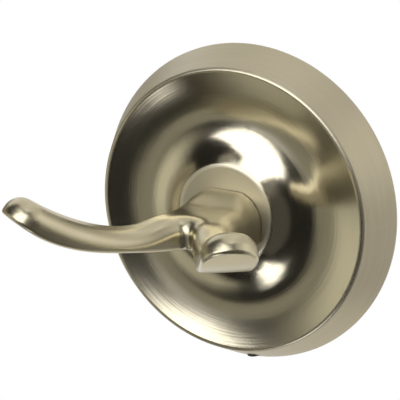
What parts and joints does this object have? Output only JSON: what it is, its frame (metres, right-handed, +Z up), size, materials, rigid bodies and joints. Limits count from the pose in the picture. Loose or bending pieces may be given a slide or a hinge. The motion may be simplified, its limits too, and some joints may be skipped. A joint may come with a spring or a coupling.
{
  "type": "robe hook",
  "caption": "Wall-mounted double robe hook: forked hook with upturned flared tips on a dished round rosette, held by a hidden wall bracket and a grub screw.",
  "frame": {"origin": "centre of the rosette's back, on the wall plane", "axes": "+Z up; +Y into the wall, so the hook stands out along -Y; +X to the right as seen from the front"},
  "size_m": [0.076, 0.0604, 0.076],
  "materials": {
    "escutcheon": "satin nickel plated zinc, polished in the dish",
    "hook": "satin nickel plated zinc",
    "hook_screw": "zinc plated steel",
    "lock_washer": "spring steel",
    "wall_bracket": "zinc plated pressed steel",
    "set_screw": "black oxide steel"
  },
  "bodies": {
    "root": {"escutcheon": "escutcheon", "hook": "hook", "hook_screw": "hook_screw", "lock_washer": "lock_washer", "wall_bracket": "wall_bracket", "set_screw": "set_screw"}
  },
  "joints": []
}
